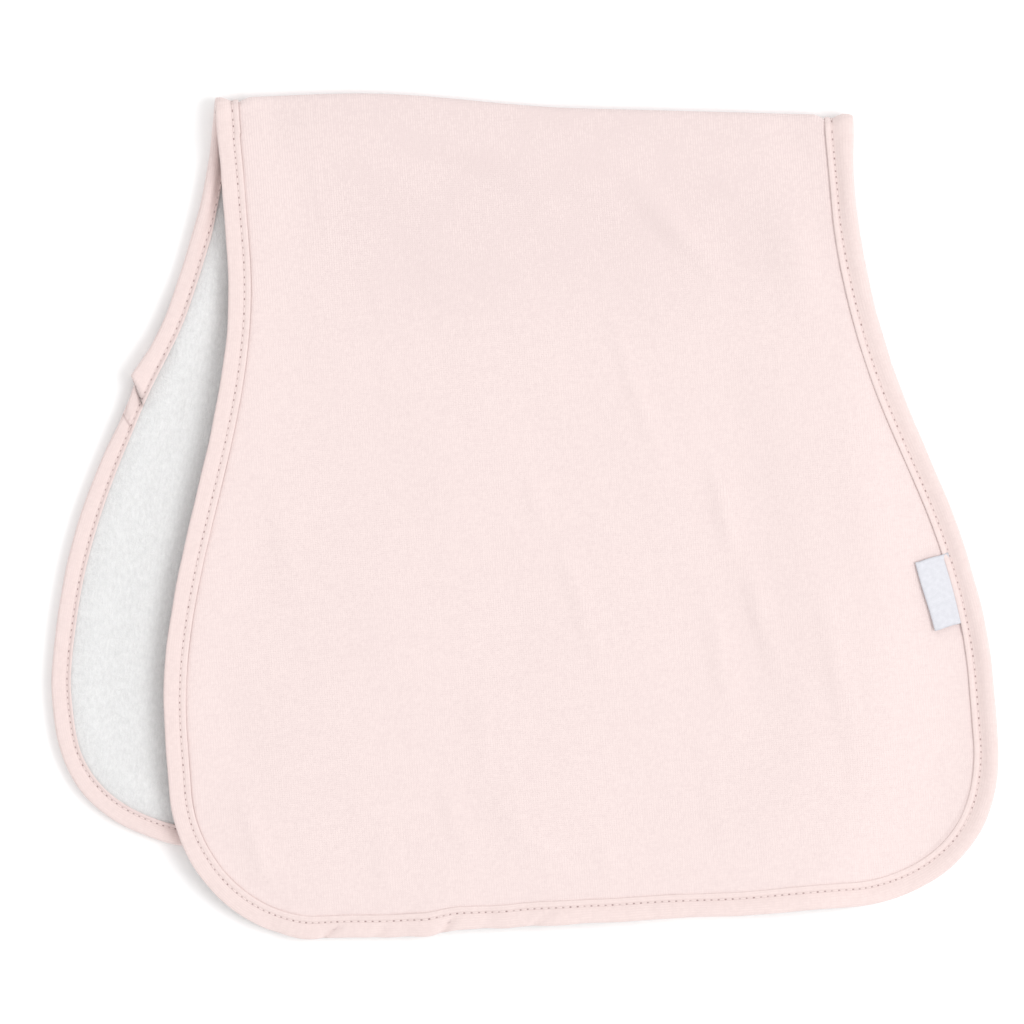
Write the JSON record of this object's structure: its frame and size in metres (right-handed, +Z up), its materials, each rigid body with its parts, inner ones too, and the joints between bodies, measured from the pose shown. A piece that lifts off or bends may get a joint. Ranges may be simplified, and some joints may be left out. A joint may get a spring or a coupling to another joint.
{
  "type": "burp cloth",
  "caption": "Hourglass burp cloth of pale pink jersey lined with white fleece, bound all round, folded over its middle and laid flat with the lower half peeking out at one side.",
  "frame": {"origin": "centre of the bounding box in plan, on the surface that the cloth lies on", "axes": "+X along the fold, towards the side with the label; +Y from the free edges towards the fold; +Z up"},
  "size_m": [0.285, 0.2544, 0.0117],
  "materials": {
    "face_jersey": "matt fine jersey knit, pale pink with a slight melange",
    "lining_fleece": "matt short-pile white fleece",
    "binding_jersey": "matt pale pink jersey binding with one row of topstitching",
    "label_ribbon": "bare white woven ribbon with a slight sheen"
  },
  "bodies": {
    "root": {"face_panel": "face_jersey", "lining_panel": "lining_fleece", "binding": "binding_jersey", "label": "label_ribbon"}
  },
  "joints": []
}
